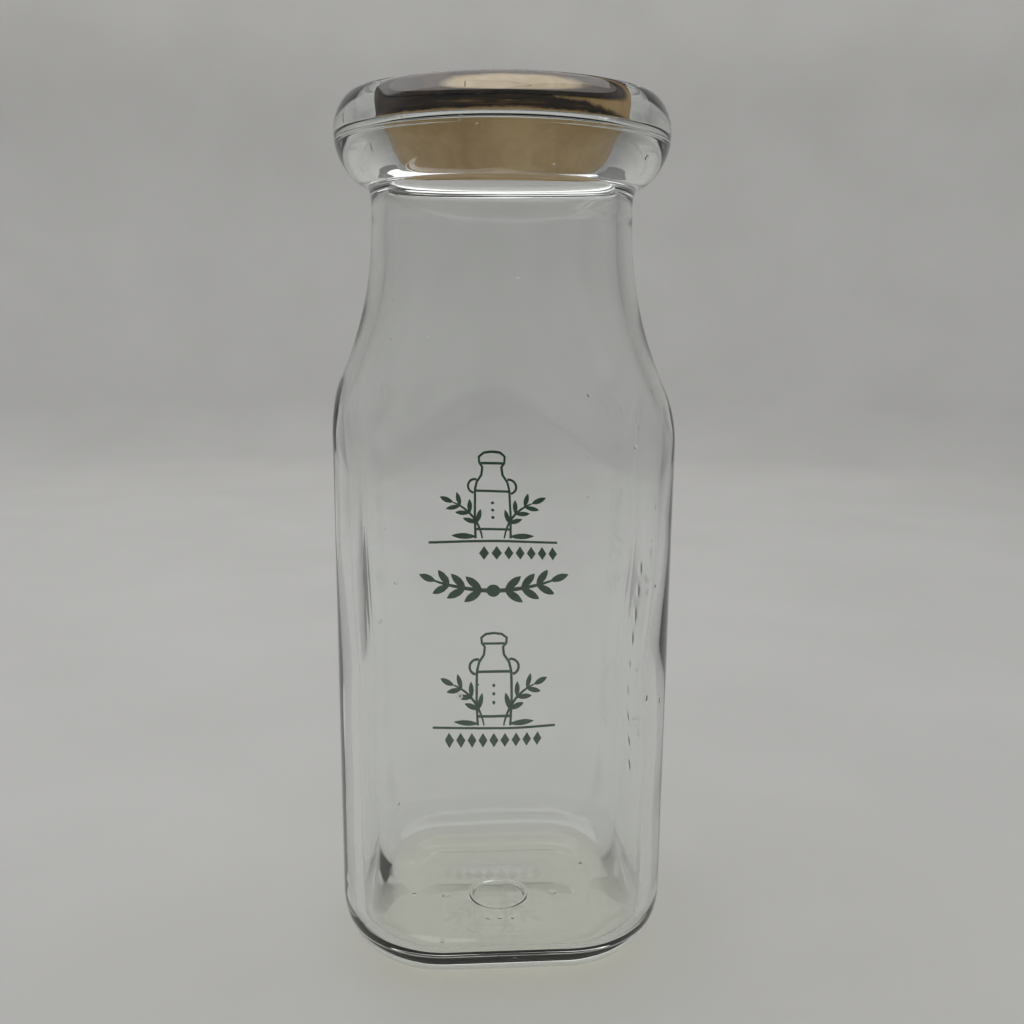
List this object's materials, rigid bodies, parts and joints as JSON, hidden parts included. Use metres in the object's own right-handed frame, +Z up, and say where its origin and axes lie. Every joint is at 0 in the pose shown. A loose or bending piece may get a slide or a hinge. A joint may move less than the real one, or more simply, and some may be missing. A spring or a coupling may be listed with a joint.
{
  "type": "glass milk bottle",
  "caption": "Clear square-bodied half-pint glass milk bottle with a round shoulder, thick rim, green enamel artwork on its back panel and a plug cap with a pull tab.",
  "frame": {"origin": "centre of the base, on the surface the bottle stands on", "axes": "+Z up the bottle, +Y out of the printed back panel, +X out of the right-hand side panel when the unprinted front is faced"},
  "size_m": [0.0572, 0.0572, 0.147],
  "materials": {
    "clear_glass": "polished",
    "green_enamel": "gloss",
    "kraft_board": "matte",
    "cream_paper": "waxed satin"
  },
  "bodies": {
    "bottle": {"glass_bottle": "clear_glass", "print_upper_churn": "green_enamel", "print_upper_rule": "green_enamel", "print_upper_beads": "green_enamel", "print_leaf_garland": "green_enamel", "print_lower_churn": "green_enamel", "print_lower_rule": "green_enamel", "print_lower_beads": "green_enamel"},
    "cap": {"cap_board": "kraft_board", "cap_top_paper": "cream_paper"},
    "pull_tab": {"cap_pull_tab": "cream_paper"}
  },
  "joints": [
    {"name": "cap_lift", "type": "slide", "parent": "bottle", "child": "cap", "axis": [0, 0, 1], "range_m": [0, 0.045]},
    {"name": "tab_fold", "type": "hinge", "parent": "cap", "child": "pull_tab", "pos_m": [0, -0.013, 0.1438], "axis": [1, 0, 0], "range_deg": [0, 100]}
  ]
}
